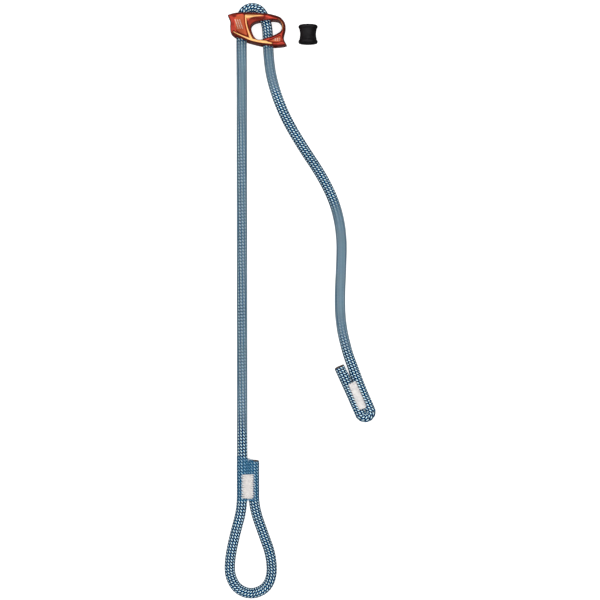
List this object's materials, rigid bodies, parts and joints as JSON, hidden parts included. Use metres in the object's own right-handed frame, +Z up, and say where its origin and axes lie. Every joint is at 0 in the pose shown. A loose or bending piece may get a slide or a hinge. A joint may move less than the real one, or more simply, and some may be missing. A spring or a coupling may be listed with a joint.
{
  "type": "adjustable rope lanyard",
  "caption": "Adjustable climbing lanyard: dynamic rope through a forged rope adjuster, with a sewn harness loop, a sewn stopper end and a loose rubber connector keeper.",
  "frame": {"origin": "bottom centre of the box round the adjuster frame and the loose keeper, on the surface that the lanyard lies on", "axes": "+X from the adjuster towards the keeper, +Y away from the harness loop, +Z up from the surface"},
  "size_m": [0.1399, 0.5511, 0.019],
  "materials": {
    "frame": "gloss",
    "sheath": "matte",
    "core": "matte",
    "thread": "satin",
    "seal": "matte",
    "sleeve": "gloss",
    "keeper": "matte"
  },
  "bodies": {
    "rope": {"rope_harness_loop_sheath": "sheath", "rope_load_strand_sheath": "sheath", "rope_wrap_sheath": "sheath", "rope_tail_sheath": "sheath", "rope_stopper_sheath": "sheath", "rope_harness_loop_core": "core", "rope_load_strand_core": "core", "rope_wrap_core": "core", "rope_tail_core": "core", "rope_stopper_core": "core", "loop_stitching_top": "thread", "loop_stitching_back": "thread", "stopper_stitching_top": "thread", "stopper_stitching_back": "thread", "loop_end_seal": "seal", "stopper_end_seal": "seal", "clear_sleeve": "sleeve"},
    "adjuster": {"adjuster_frame": "frame"},
    "keeper": {"connector_keeper": "keeper"}
  },
  "joints": [
    {"name": "adjuster_tilt", "type": "hinge", "parent": "rope", "child": "adjuster", "pos_m": [-0.01869, 0.01009, 0.0095], "axis": [0, 0, 1], "range_deg": [-8, 3]},
    {"name": "keeper_lift", "type": "slide", "parent": "rope", "child": "keeper", "axis": [0, 0, 1], "range_m": [0, 0.05]}
  ]
}
